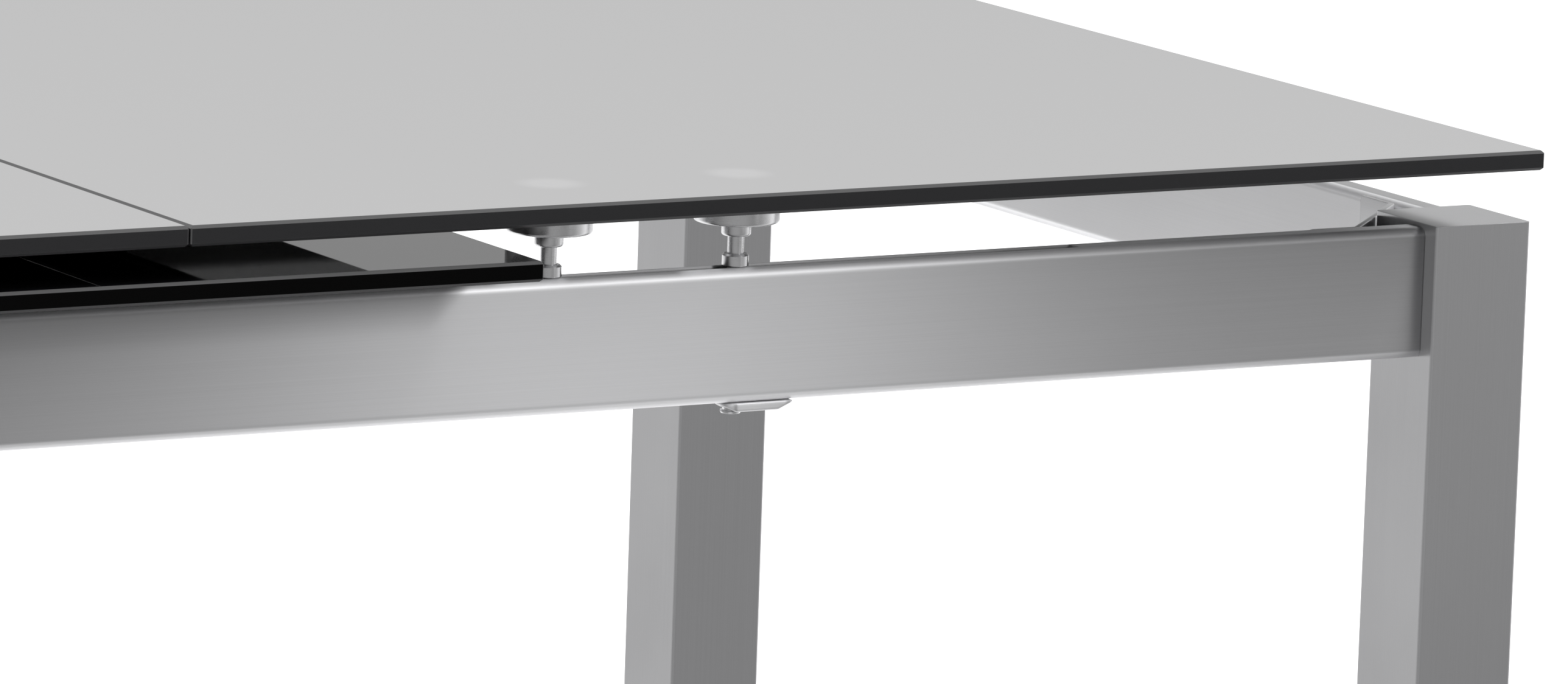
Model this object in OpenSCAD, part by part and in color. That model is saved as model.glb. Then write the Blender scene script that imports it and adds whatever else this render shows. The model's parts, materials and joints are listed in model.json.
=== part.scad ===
// Extending dining table: two glass halves that slide apart on a steel frame,
// with an extension leaf that rests below them on a lifting carrier.
// Millimetres. +X along the table, -Y is the front, +Z up, origin on the floor at the centre.

/* [Table] */
// Height of the glass surface above the floor
table_h = 750; // [730:1:770]
// Length over the closed glass halves
glass_l = 1500; // [1450:10:1560]
// Width of the glass, front to back
glass_w = 900; // [880:5:960]
// Thickness of each glass panel
glass_t = 10; // [8:1:12]
// Width of the ground arris along the edges of the glass
arris = 1.5; // [0.5:0.5:2]
// Gap between two neighbouring panels
seam = 1; // [1:0.5:2]

/* [Frame] */
// Length over the outer faces of the legs
frame_l = 1542; // [1520:1:1580]
// Width over the outer faces of the legs
frame_w = 818; // [800:1:840]
// Side of the square leg tube
leg_w = 56; // [50:1:60]
// Height of the rails
rail_h = 66; // [60:0.5:70]
// Thickness of the rails, seen from above
rail_t = 18; // [17:1:24]
// Wall of every tube
wall = 2; // [1.5:0.5:2]
// Distance that the long rails stand back from the legs' outer faces
long_setback = 10; // [6:1:14]
// Distance that the end rails stand back from the legs' outer faces
end_setback = 6; // [5:1:12]
// Clear height between the rails' top and the underside of the glass
glass_gap = 35.2; // [32:0.1:38]
// Distance that the legs' top stands above the rails' top
leg_rise = 2; // [0:0.5:3]

/* [Supports] */
// Distance from the seam to the inner post of a carriage
post_x = 221.5; // [215:0.5:240]
// Distance between the two posts of a carriage
post_pitch = 102.5; // [90:0.5:110]
// Diameter of a post
post_d = 8; // [6:1:8]
// Diameter of the disc that is bonded to the glass
disc_d = 42; // [40:1:50]

/* [Extension] */
// Length of the extension leaf along the table
leaf_l = 373; // [341:2:381]
// Height of the leaf's underside above the rails' top when it is stored
leaf_low = 9; // [8:0.1:9.5]

/* [Hidden] */

slide_travel = (leaf_l + seam) / 2;
rail_top = table_h - glass_t - glass_gap;
leg_top = rail_top + leg_rise;
rail_bottom = rail_top - rail_h;
glass_z = table_h - glass_t;
leaf_z = rail_top + leaf_low;
corner_arris = 0.6;
leg_r = 1.6;
rail_r = 5;
slack = 0.3;
shaft_fit = 0.15;
poke = 1;

foot_pad_t = 3;
foot_flange_t = 5;
foot_pad_d = 38;
foot_plug_h = 30;
foot_plug_wall = 3;
leg_foot = foot_pad_t + foot_flange_t;

leg_cx = frame_l / 2 - leg_w / 2;
leg_cy = frame_w / 2 - leg_w / 2;
long_y = frame_w / 2 - long_setback - rail_t / 2;
end_x = frame_l / 2 - end_setback - rail_t / 2;
long_inner_y = long_y - rail_t / 2;
end_inner_x = end_x - rail_t / 2;
leg_inner_x = frame_l / 2 - leg_w;
leg_inner_y = frame_w / 2 - leg_w;

slot_w = post_d + 1;
slot_cut_h = 4 * wall;
slot_from = post_x - slot_w / 2;
slot_to = post_x + post_pitch + slide_travel + slot_w / 2;

carriage_t = rail_t - 2 * wall - 2 * slack;
carriage_h = rail_h - 2 * wall - 2 * slack;
carriage_inner_end = 60;
carriage_outer_end = 30;
carriage_from = post_x - carriage_inner_end;
carriage_to = post_x + post_pitch + carriage_outer_end;
carriage_top = rail_top - wall - slack;
window_l = 62;
window_h = 34;
post_depth = 24;
post_rise = 29;
post_top = rail_top + post_rise;
disc_edge_r = 1.5;
disc_rise = 22;
disc_bottom = rail_top + disc_rise;
disc_collar_d = 14.4;
disc_collar_h = 7;
foot_collar_d = 13;
foot_collar_h = 6;

lock_x = post_x + post_pitch;
lock_shaft_d = 8;
lock_depth = 22;
lock_bore_extra_d = 0.1;
lock_bore_extra_h = 0.5;
lock_lever_t = 4.2;
lock_head_d = 12;
lock_head_h = 1.3;
lever_reach = 30.5;
lever_w = 15;
lever_tip = 8;

beam_x = 60;
beam_w = 30;
beam_h = 20;
beam_drop = 36;
beam_top = rail_top - beam_drop;
shaft_d = 14;
shaft_drop = 14;
shaft_z = rail_top - shaft_drop;
shaft_overhang = 6;
crank_l = 60;
leaf_lift_full = glass_z - leaf_z;
crank_angle = -asin(leaf_lift_full / 2 / crank_l);
crank_pin_d = 8;
pin_x = beam_x + crank_l * cos(crank_angle);
pin_z = shaft_z + crank_l * sin(crank_angle);
arm_t = 6;
arm_w = 16;
arm_boss_d = shaft_d + 10;
pin_overhang = 2;
arm_y = 309;
arm_gap = 2;
lift_bar_y = arm_y - arm_t - arm_gap;
lift_bar_t = 6;
crank_pin_l = arm_t / 2 + arm_gap + lift_bar_t + 2 * pin_overhang;
pad_t = 3;
bar_top = leaf_z - pad_t;
bar_below_pin = 12;
bar_bottom = pin_z - bar_below_pin;
bar_half = 150;
pin_slot_w = crank_pin_d + 0.6;
pin_slot_l = 14;
bar_arch_side = 18;
bar_arch_over = 2;
leaf_pad_x = 118;
leaf_pad_d = 34;
block_y = 335;
block_t = 16;
block_inset = 2;
block_over_shaft = 9;
guide_y = 270;
guide_d = 10;
rod_below_beam = 26;
bush_d = 18;
bush_below = 14;
bush_flange_d = 26;
bush_flange_t = 3;
bridge_t = 5;
bush_h = bush_below + bridge_t + bush_flange_t;
bridge_w = 44;
bridge_inset = 4;
screw_y = 14;
screw_d = 9;
screw_top_d = 7;
screw_h = 2;
bumper_d = 12;
bumper_inset = 40;
spring_l = 36;
spring_inset = 60;
spring_d = shaft_d + 8;
spring_bore_d = shaft_d + 1.6;
buffer_t = 0.4;
buffer_l = 12;
buffer_inset = 90;
buffer_margin = 2;

steel = [0.62, 0.62, 0.64];
polished = [0.72, 0.72, 0.74];
black_glass = [0.03, 0.03, 0.035];
dark_plastic = [0.08, 0.08, 0.09];
clear_pvc = [0.7, 0.72, 0.74];
zinc = [0.5, 0.51, 0.53];
rubber = [0.05, 0.05, 0.05];

$fn = 48;

// A rectangle with round corners, centred.
module round_rect(size, r) {
    square([size[0] - 2 * r, size[1]], center = true);
    square([size[0], size[1] - 2 * r], center = true);
    for (x = [-1, 1], y = [-1, 1])
        translate([x * (size[0] / 2 - r), y * (size[1] / 2 - r)]) circle(r);
}

// A square-cornered bore of a rounded tube.
module tube_section(size, r) {
    difference() {
        round_rect(size, r);
        square([size[0] - 2 * wall, size[1] - 2 * wall], center = true);
    }
}

// A rectangle of a by b from the middle of its lower side, with its corners cut by c.
function cut_corners(a, b, c) = [
    [-a / 2 + c, 0], [a / 2 - c, 0], [a / 2, c], [a / 2, b - c],
    [a / 2 - c, b], [-a / 2 + c, b], [-a / 2, b - c], [-a / 2, c]
];

// A glass panel with ground arrises, centred in X and Y, standing on z = 0.
module glass_panel(l, w) {
    intersection() {
        rotate([90, 0, 0]) linear_extrude(w, center = true) polygon(cut_corners(l, glass_t, arris));
        rotate([90, 0, 90]) linear_extrude(l, center = true) polygon(cut_corners(w, glass_t, arris));
        translate([0, -w / 2, 0])
            linear_extrude(glass_t) polygon(cut_corners(l, w, corner_arris));
    }
}

// Sliding glass half; side is 1 on the right and -1 on the left.
module glass_half(side) {
    half_l = (glass_l - seam) / 2;
    color(black_glass)
        translate([side * (glass_l / 2 - half_l / 2), 0, glass_z])
            glass_panel(half_l, glass_w);
}

module leaf_glass() {
    color(black_glass)
        translate([0, 0, leaf_z]) glass_panel(leaf_l, glass_w);
}

// Square leg tube with a welded top plate.
module leg(sx, sy) {
    color(steel)
        translate([sx * leg_cx, sy * leg_cy, 0])
            difference() {
                translate([0, 0, leg_foot])
                    linear_extrude(leg_top - leg_foot) round_rect([leg_w, leg_w], leg_r);
                translate([0, 0, leg_foot - poke])
                    linear_extrude(leg_top - leg_foot - wall + poke)
                        square(leg_w - 2 * wall, center = true);
            }
}

// Long rail, slotted for the posts and the lock bolts; side is 1 at the back and -1 at the front.
module long_rail(side) {
    length = frame_l - 2 * leg_w;
    color(steel)
        difference() {
            translate([0, side * long_y, rail_bottom + rail_h / 2])
                rotate([90, 0, 90]) linear_extrude(length, center = true)
                    tube_section([rail_t, rail_h], rail_r);
            for (x = [-1, 1]) {
                translate([x * (slot_from + slot_to) / 2, side * long_y, rail_top])
                    cube([slot_to - slot_from, slot_w, slot_cut_h], center = true);
                translate([x * (lock_x - slot_w / 2 + slot_to) / 2, side * long_y, rail_bottom])
                    cube([slot_to - lock_x + slot_w / 2, slot_w, slot_cut_h], center = true);
            }
        }
}

// End rail between two legs; side is 1 on the right and -1 on the left.
module end_rail(side) {
    color(steel)
        translate([side * end_x, 0, rail_bottom + rail_h / 2])
            rotate([90, 0, 0]) linear_extrude(frame_w - 2 * leg_w, center = true)
                tube_section([rail_t, rail_h], rail_r);
}

bracket_t = 3;
bracket_h = 46;
bracket_flange = 26;
bracket_reach = leg_w - long_setback - rail_t + 1;
bracket_top = rail_top - 1;
bracket_bolt_z = bracket_top - bracket_h / 2;
bracket_hole_d = 6.5;
bracket_hole_l = 20;
washer_d = 12.5;
washer_t = 1.2;
bolt_head_d = 11.5;
bolt_head_top = 5.2;

// Plan outline of a corner bracket, for the corner at the front right, around the leg's inner corner:
// a diagonal web with a flange on each rail.
function bracket_outline() =
    let (
        ya = -long_inner_y, xb = end_inner_x,
        xa = leg_inner_x - bracket_reach,
        web = ya - xa,
        yb = xb + web,
        t = bracket_t, d = bracket_t * sqrt(2)
    ) [
        [xa - bracket_flange, ya], [xa, ya], [xb, yb], [xb, yb + bracket_flange],
        [xb - t, yb + bracket_flange], [xb - t, yb - t + d], [xa + t - d, ya + t],
        [xa - bracket_flange, ya + t]
    ];

module corner_bracket(sx, sy) {
    color(zinc)
        mirror([sx < 0 ? 1 : 0, 0, 0]) mirror([0, sy > 0 ? 1 : 0, 0])
            difference() {
                translate([0, 0, bracket_top - bracket_h])
                    linear_extrude(bracket_h) polygon(bracket_outline());
                bracket_bolt_places(0.5) cylinder(d = bracket_hole_d, h = bracket_hole_l, center = true);
            }
}

// Puts its children at the two rail bolts and the leg bolt of the front right corner.
module bracket_bolt_places(lift) {
    xa = leg_inner_x - bracket_reach;
    ya = -long_inner_y;
    xb = end_inner_x;
    yb = xb + ya - xa;
    translate([xa - bracket_flange / 2, ya + bracket_t * lift, bracket_bolt_z])
        rotate([-90, 0, 0]) children();
    translate([xb - bracket_t * lift, yb + bracket_flange / 2, bracket_bolt_z])
        rotate([0, -90, 0]) children();
    translate([(xa + xb) / 2 - bracket_t * lift / sqrt(2), (ya + yb) / 2 + bracket_t * lift / sqrt(2),
               bracket_bolt_z])
        rotate([0, -90, -45]) children();
}

// Hexagon bolt heads with washers, standing on the brackets' inner faces.
module bracket_bolts() {
    color(polished)
        for (sx = [0, 1], sy = [0, 1])
            mirror([sx, 0, 0]) mirror([0, sy, 0])
                bracket_bolt_places(1) {
                    union() {
                        cylinder(d = washer_d, h = washer_t);
                        cylinder(d = bolt_head_d, h = bolt_head_top, $fn = 6);
                    }
                }
}

// Plastic inserts that close the legs at the bottom.
module foot_glides() {
    color(dark_plastic)
        for (x = [-1, 1], y = [-1, 1])
            translate([x * leg_cx, y * leg_cy, foot_pad_t]) {
                linear_extrude(foot_flange_t) round_rect([leg_w, leg_w], leg_r);
                translate([0, 0, foot_flange_t])
                    linear_extrude(foot_plug_h) difference() {
                        square(leg_w - 2 * wall, center = true);
                        square(leg_w - 2 * wall - 2 * foot_plug_wall, center = true);
                    }
            }
}

module foot_pads() {
    color(rubber)
        for (x = [-1, 1], y = [-1, 1])
            translate([x * leg_cx, y * leg_cy, 0]) cylinder(d = foot_pad_d, h = foot_pad_t);
}

// Puts its children at the four posts of one half, at floor height.
module at_posts(side) {
    for (i = [0, 1], y = [-1, 1])
        translate([side * (post_x + i * post_pitch), y * long_y, 0]) children();
}

// Slide block inside a long rail, bored for its two posts and its lock bolt.
module carriage(sx, sy) {
    color(dark_plastic)
        difference() {
            translate([sx * (carriage_from + carriage_to) / 2, sy * long_y, carriage_top - carriage_h / 2])
                cube([carriage_to - carriage_from, carriage_t, carriage_h], center = true);
            translate([sx * (post_x + post_pitch / 2), sy * long_y, carriage_top - carriage_h / 2])
                cube([window_l, 2 * carriage_t, window_h], center = true);
            for (i = [0, 1])
                translate([sx * (post_x + i * post_pitch), sy * long_y, carriage_top - post_depth])
                    cylinder(d = post_d, h = post_depth + poke);
            translate([sx * lock_x, sy * long_y, carriage_top - carriage_h - poke])
                cylinder(d = lock_shaft_d + lock_bore_extra_d, h = lock_depth + lock_bore_extra_h + poke);
        }
}

// Studs that stand on the carriages and reach into the discs.
module posts(side) {
    color(polished)
        at_posts(side) translate([0, 0, carriage_top - post_depth])
            cylinder(d = post_d, h = post_top - carriage_top + post_depth);
}

// A disc of radius r and height h on z = 0, with its lower edge rounded.
module round_edged_disc(r, h, edge) {
    rotate_extrude() union() {
        square([r - edge, h]);
        translate([r - edge, edge]) square([edge, h - edge]);
        intersection() {
            translate([r - edge, edge]) circle(edge);
            translate([r - edge, 0]) square([edge, edge]);
        }
    }
}

// Steel discs with a rounded lower edge, bonded to the underside of the glass.
module glass_discs(side) {
    color(polished)
        at_posts(side) translate([0, 0, disc_bottom])
            difference() {
                round_edged_disc(disc_d / 2, glass_z - disc_bottom, disc_edge_r);
                translate([0, 0, -poke]) cylinder(d = post_d, h = post_top - disc_bottom + poke);
            }
}

// Round collars below the discs.
module disc_collars(side) {
    color(polished)
        at_posts(side) translate([0, 0, disc_bottom - disc_collar_h])
            difference() {
                round_edged_disc(disc_collar_d / 2, disc_collar_h, disc_edge_r);
                translate([0, 0, -poke]) cylinder(d = post_d, h = disc_collar_h + 2 * poke);
            }
}

// Collars at the foot of the studs, just clear of the rail.
module foot_collars(side) {
    bevel = 1;
    color(polished)
        at_posts(side) translate([0, 0, rail_top + slack])
            difference() {
                union() {
                    cylinder(d = foot_collar_d, h = foot_collar_h - bevel);
                    translate([0, 0, foot_collar_h - bevel])
                        cylinder(d1 = foot_collar_d, d2 = foot_collar_d - 2 * bevel, h = bevel);
                }
                translate([0, 0, -poke]) cylinder(d = post_d, h = foot_collar_h + 2 * poke);
            }
}

// Flat lever under a rail that tightens the lock, round at the pivot and bevelled at the finger end.
module lock_lever(sx, sy) {
    tip_t = 0.8;
    color(zinc)
        translate([sx * lock_x, sy * long_y, rail_bottom - slack - lock_lever_t])
            mirror([sx < 0 ? 1 : 0, 0, 0])
                difference() {
                    linear_extrude(lock_lever_t) union() {
                        circle(d = lever_w);
                        translate([0, -lever_w / 2]) square([lever_reach, lever_w]);
                    }
                    rotate([90, 0, 0]) linear_extrude(2 * lever_w, center = true)
                        polygon([[lever_reach - lever_tip, 0], [lever_reach, lock_lever_t - tip_t],
                                 [lever_reach + poke, lock_lever_t - tip_t], [lever_reach + poke, -poke],
                                 [lever_reach - lever_tip, -poke]]);
                    translate([0, 0, -poke]) cylinder(d = lock_shaft_d, h = lock_lever_t + 2 * poke);
                }
}

// Bolt that turns with its lever and pulls the carriage down on the rail.
module lock_bolt(sx, sy) {
    head_z = rail_bottom - slack - lock_lever_t;
    color(polished)
        translate([sx * lock_x, sy * long_y, 0]) {
            translate([0, 0, head_z - lock_head_h])
                cylinder(d = lock_head_d, h = lock_head_h, $fn = 6);
            translate([0, 0, head_z])
                cylinder(d = lock_shaft_d, h = carriage_top - carriage_h + lock_depth - head_z);
        }
}

// Cross beam that carries one crank shaft; side is 1 on the right and -1 on the left.
module cross_beam(side) {
    color(steel)
        translate([side * beam_x, 0, beam_top - beam_h / 2])
            rotate([90, 0, 0]) linear_extrude(2 * long_inner_y, center = true)
                tube_section([beam_w, beam_h], rail_r);
}

// Flat plates between the cross beams that hold the guide bushes.
module guide_bridges() {
    color(zinc)
        for (y = [-1, 1])
            translate([0, y * guide_y, beam_top + bridge_t / 2])
                difference() {
                    cube([2 * beam_x + beam_w - 2 * bridge_inset, bridge_w, bridge_t], center = true);
                    cylinder(d = bush_d, h = 2 * bridge_t, center = true);
                }
}

module guide_bushes() {
    color(dark_plastic)
        for (y = [-1, 1])
            translate([0, y * guide_y, beam_top - bush_below])
                difference() {
                    union() {
                        cylinder(d = bush_d, h = bush_below + bridge_t);
                        translate([0, 0, bush_below + bridge_t])
                            cylinder(d = bush_flange_d, h = bush_flange_t);
                    }
                    translate([0, 0, -poke])
                        cylinder(d = guide_d + shaft_fit, h = bush_h + 2 * poke);
                }
}

// Pillow blocks on the cross beams.
module bearing_blocks() {
    color(dark_plastic)
        for (x = [-1, 1], y = [-1, 1])
            translate([x * beam_x, y * block_y, 0])
                difference() {
                    rotate([90, 0, 0]) linear_extrude(block_t, center = true) union() {
                        translate([-beam_w / 2 + block_inset, beam_top])
                            square([beam_w - 2 * block_inset, shaft_z - beam_top]);
                        translate([0, shaft_z]) intersection() {
                            circle(beam_w / 2 - block_inset);
                            translate([-beam_w, 0]) square([2 * beam_w, block_over_shaft]);
                        }
                    }
                    translate([0, 0, shaft_z]) rotate([90, 0, 0])
                        cylinder(d = shaft_d + shaft_fit, h = 2 * block_t, center = true);
                }
}

// Screws that hold the bridges to the cross beams.
module beam_screws() {
    color(polished)
        for (x = [-1, 1], y = [-1, 1], side = [-1, 1])
            translate([x * (beam_x - bridge_inset), y * guide_y + side * screw_y, beam_top + bridge_t])
                cylinder(d1 = screw_d, d2 = screw_top_d, h = screw_h);
}

// Rubber stops on the long rails that the stored leaf rests on.
module leaf_bumpers() {
    color(rubber)
        for (x = [-1, 1], y = [-1, 1])
            translate([x * (leaf_l / 2 - bumper_inset), y * long_y, rail_top])
                cylinder(d = bumper_d, h = leaf_z - rail_top);
}

// Slotted bars under the leaf that the crank pins lift.
module lift_bar(side) {
    color(zinc)
        difference() {
            translate([0, side * lift_bar_y, (bar_top + bar_bottom) / 2])
                cube([2 * bar_half, lift_bar_t, bar_top - bar_bottom], center = true);
            for (x = [-1, 1])
                translate([x * pin_x, side * lift_bar_y, pin_z]) rotate([90, 0, 0])
                    linear_extrude(2 * lift_bar_t, center = true) union() {
                        square([pin_slot_l, pin_slot_w], center = true);
                        for (e = [-1, 1]) translate([e * pin_slot_l / 2, 0]) circle(d = pin_slot_w);
                    }
            translate([0, side * lift_bar_y, bar_bottom])
                cube([2 * (beam_x + bar_arch_side), 2 * lift_bar_t,
                      2 * (shaft_z + shaft_d / 2 + bar_arch_over - bar_bottom)], center = true);
        }
}

// Bonded pads between the lift bars and the leaf.
module leaf_pads() {
    color(zinc)
        for (x = [-1, 1], y = [-1, 1])
            translate([x * leaf_pad_x, y * lift_bar_y, leaf_z - pad_t]) cylinder(d = leaf_pad_d, h = pad_t);
}

module guide_rods() {
    color(polished)
        for (y = [-1, 1])
            translate([0, y * guide_y, 0]) {
                translate([0, 0, leaf_z - pad_t]) cylinder(d = leaf_pad_d, h = pad_t);
                translate([0, 0, beam_top - rod_below_beam])
                    cylinder(d = guide_d, h = leaf_z - pad_t - beam_top + rod_below_beam);
            }
}

module crank_shaft(side) {
    color(polished)
        translate([side * beam_x, 0, shaft_z]) rotate([90, 0, 0])
            cylinder(d = shaft_d, h = 2 * (block_y + block_t / 2 + shaft_overhang), center = true);
}

// Two arms on a crank shaft, each with the pin that runs in a lift bar.
module crank_arms(side) {
    color(zinc)
        for (y = [-1, 1])
            translate([side * beam_x, y * arm_y, shaft_z])
                mirror([side < 0 ? 1 : 0, 0, 0]) rotate([0, -crank_angle, 0]) {
                    difference() {
                        rotate([90, 0, 0]) linear_extrude(arm_t, center = true) union() {
                            circle(d = arm_boss_d);
                            translate([0, -arm_w / 2]) square([crank_l, arm_w]);
                            translate([crank_l, 0]) circle(d = arm_w);
                        }
                        rotate([90, 0, 0]) cylinder(d = shaft_d, h = 2 * arm_t, center = true);
                    }
                    translate([crank_l, -y * (arm_t / 2 + arm_gap + lift_bar_t) / 2, 0])
                        rotate([90, 0, 0])
                            cylinder(d = crank_pin_d, h = crank_pin_l, center = true);
                }
}

// Coil springs around the crank shafts, drawn as sleeves.
module torsion_springs() {
    color(steel)
        for (x = [-1, 1], y = [-1, 1])
            translate([x * beam_x, y * (block_y - spring_inset), shaft_z]) rotate([90, 0, 0])
                difference() {
                    cylinder(d = spring_d, h = spring_l, center = true);
                    cylinder(d = spring_bore_d, h = spring_l + 2 * poke, center = true);
                }
}

// Small clear buffers on the seam edge of the right half.
module seam_buffers() {
    color(clear_pvc)
        for (y = [-1, 1])
            translate([seam / 2 - buffer_t, y * (glass_w / 2 - buffer_inset), glass_z + buffer_margin])
                cube([buffer_t, buffer_l, glass_t - 2 * buffer_margin]);
}

glass_half(1);  // glass_right
glass_half(-1);  // glass_left
leaf_glass();
leg(-1, -1);  // leg_fl
leg(1, -1);  // leg_fr
leg(-1, 1);  // leg_bl
leg(1, 1);  // leg_br
long_rail(-1);  // rail_front
long_rail(1);  // rail_back
end_rail(-1);  // rail_left
end_rail(1);  // rail_right
corner_bracket(-1, -1);  // corner_bracket_fl
corner_bracket(1, -1);  // corner_bracket_fr
corner_bracket(-1, 1);  // corner_bracket_bl
corner_bracket(1, 1);  // corner_bracket_br
bracket_bolts();
foot_glides();
foot_pads();
carriage(-1, -1);  // carriage_fl
carriage(1, -1);  // carriage_fr
carriage(-1, 1);  // carriage_bl
carriage(1, 1);  // carriage_br
posts(1);  // posts_right
posts(-1);  // posts_left
glass_discs(1);  // glass_discs_right
glass_discs(-1);  // glass_discs_left
disc_collars(1);  // disc_collars_right
disc_collars(-1);  // disc_collars_left
foot_collars(1);  // foot_collars_right
foot_collars(-1);  // foot_collars_left
lock_lever(-1, -1);  // lock_lever_fl
lock_lever(1, -1);  // lock_lever_fr
lock_lever(-1, 1);  // lock_lever_bl
lock_lever(1, 1);  // lock_lever_br
lock_bolt(-1, -1);  // lock_bolt_fl
lock_bolt(1, -1);  // lock_bolt_fr
lock_bolt(-1, 1);  // lock_bolt_bl
lock_bolt(1, 1);  // lock_bolt_br
cross_beam(-1);  // cross_beam_left
cross_beam(1);  // cross_beam_right
guide_bridges();
guide_bushes();
bearing_blocks();
beam_screws();
leaf_bumpers();
lift_bar(-1);  // lift_bar_front
lift_bar(1);  // lift_bar_back
leaf_pads();
guide_rods();
crank_shaft(-1);  // crank_shaft_left
crank_shaft(1);  // crank_shaft_right
crank_arms(-1);  // crank_arms_left
crank_arms(1);  // crank_arms_right
torsion_springs();
seam_buffers();
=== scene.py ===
import json
import math

import bmesh
import bpy
from mathutils import Matrix, Vector


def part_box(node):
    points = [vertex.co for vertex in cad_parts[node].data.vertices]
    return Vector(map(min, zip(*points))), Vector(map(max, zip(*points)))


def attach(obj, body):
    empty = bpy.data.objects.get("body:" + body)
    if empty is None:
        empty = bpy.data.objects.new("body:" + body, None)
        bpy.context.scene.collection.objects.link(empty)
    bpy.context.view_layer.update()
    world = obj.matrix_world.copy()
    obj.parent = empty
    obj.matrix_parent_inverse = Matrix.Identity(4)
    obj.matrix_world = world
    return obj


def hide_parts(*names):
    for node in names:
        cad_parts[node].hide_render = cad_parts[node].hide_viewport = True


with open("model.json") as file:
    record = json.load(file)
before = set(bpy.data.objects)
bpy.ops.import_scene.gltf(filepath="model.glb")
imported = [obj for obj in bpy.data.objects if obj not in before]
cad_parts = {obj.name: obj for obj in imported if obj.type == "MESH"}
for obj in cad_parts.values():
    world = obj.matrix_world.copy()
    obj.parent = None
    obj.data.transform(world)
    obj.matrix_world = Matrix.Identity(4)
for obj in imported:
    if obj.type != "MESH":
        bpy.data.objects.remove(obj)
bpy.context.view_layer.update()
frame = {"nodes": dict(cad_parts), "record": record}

MM = 0.001

# --- Camera: a long lens, turned to the right of straight ahead and slightly down ---
VIEW_AZIMUTH = math.radians(29.961)
VIEW_ELEVATION = math.radians(9.724)
VIEW_ROLL = math.radians(1.919)
VIEW_TARGET = Vector((0.3477, -0.3986, 0.6676))
VIEW_DISTANCE = 5.138
LENS_MM = 244.26
SENSOR_MM = 36.0
CLIP_END = 100.0


def make_camera():
    across = math.cos(VIEW_ELEVATION)
    ahead, aside = math.cos(VIEW_AZIMUTH), math.sin(VIEW_AZIMUTH)
    forward = Vector((aside * across, ahead * across, -math.sin(VIEW_ELEVATION)))
    level_right = Vector((ahead, -aside, 0.0))
    level_up = level_right.cross(forward)
    right = math.cos(VIEW_ROLL) * level_right + math.sin(VIEW_ROLL) * level_up
    up = right.cross(forward)
    data = bpy.data.cameras.new("camera")
    data.lens = LENS_MM
    data.sensor_width = SENSOR_MM
    data.sensor_fit = "HORIZONTAL"
    data.clip_end = CLIP_END
    camera = bpy.data.objects.new("camera", data)
    turn = Matrix((right, up, -forward)).transposed().to_4x4()
    camera.matrix_world = Matrix.Translation(VIEW_TARGET - VIEW_DISTANCE * forward) @ turn
    bpy.context.scene.collection.objects.link(camera)
    bpy.context.scene.camera = camera


make_camera()

# Level, and away from the camera. The room's light is laid out along it.
AWAY = Vector((math.sin(VIEW_AZIMUTH), math.cos(VIEW_AZIMUTH), 0.0))

# --- Materials ---
STEEL_COLOUR = (0.60, 0.60, 0.61)
STEEL_ROUGHNESS = 0.36
# Noise scales per metre, along the grain and across it.
FINE_GRAIN = (4.0, 2200.0)
BROAD_GRAIN = (1.5, 220.0)
SMUDGE_SCALE = 7.0
# The range that most values of a noise lie in.
NOISE_LOW, NOISE_HIGH = 0.3, 0.7
BEVEL_SAMPLES = 4
# Cosine between the softened and the plain normal, on a flat and on a full edge.
FLAT_COSINE, EDGE_COSINE = 0.99, 0.80
WORN_WIDTH = 0.5 * MM
GLASS_IOR = 1.52
GLASS_BLACK = (0.006, 0.006, 0.007)
GLASS_ROUGHNESS = 0.015
EDGE_ROUGHNESS = 0.03
SPOT_COLOUR = (0.06, 0.06, 0.062)
SPOT_OUTER, SPOT_INNER = 19 * MM, 9 * MM
# Colours of the ground arrises facing up and facing down; the darker one below is painted shade.
ARRIS_ABOVE = (0.07, 0.07, 0.071)
ARRIS_BELOW_PAINTED_SHADE = (0.02, 0.02, 0.021)
ARRIS_SPECULAR = 0.25
ARRIS_ROUGHNESS = 0.35


class Nodes:
    """Short calls for building one node tree."""

    def __init__(self, tree):
        self.tree = tree
        tree.nodes.clear()

    def add(self, kind, inputs=None, **settings):
        node = self.tree.nodes.new(kind)
        for name, value in settings.items():
            setattr(node, name, value)
        for name, value in (inputs or {}).items():
            if isinstance(value, bpy.types.NodeSocket):
                self.tree.links.new(value, node.inputs[name])
            else:
                node.inputs[name].default_value = value
        return node

    def math(self, operation, a, b=0.0):
        return self.add("ShaderNodeMath", {0: a, 1: b}, operation=operation).outputs[0]

    def vector(self, operation, a, b=(0.0, 0.0, 0.0)):
        node = self.add("ShaderNodeVectorMath", {0: a, 1: b}, operation=operation)
        return node.outputs["Value" if operation in ("DOT_PRODUCT", "LENGTH", "DISTANCE") else "Vector"]

    def spread(self, value, low, high, to_low, to_high):
        return self.add(
            "ShaderNodeMapRange",
            {"Value": value, "From Min": low, "From Max": high, "To Min": to_low, "To Max": to_high},
        ).outputs["Result"]

    def from_noise(self, noise, to_low, to_high):
        return self.spread(noise, NOISE_LOW, NOISE_HIGH, to_low, to_high)

    def upward(self, normal):
        return self.add("ShaderNodeSeparateXYZ", {0: normal}).outputs["Z"]


def material(name):
    made = bpy.data.materials.new(name)
    made.use_nodes = True
    nodes = Nodes(made.node_tree)
    shader = nodes.add("ShaderNodeBsdfPrincipled")
    output = nodes.add("ShaderNodeOutputMaterial")
    made.node_tree.links.new(shader.outputs["BSDF"], output.inputs["Surface"])
    return made, nodes, shader


def grain(nodes, axis, along, across, detail=3.0):
    """Noise drawn out along one axis, 0 to 1."""
    place = nodes.add("ShaderNodeTexCoord").outputs["Object"]
    scale = [across] * 3
    scale["XYZ".index(axis)] = along
    stretched = nodes.vector("MULTIPLY", place, scale)
    noise = nodes.add("ShaderNodeTexNoise", {"Vector": stretched, "Scale": 1.0, "Detail": detail})
    return noise.outputs["Fac"]


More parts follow.
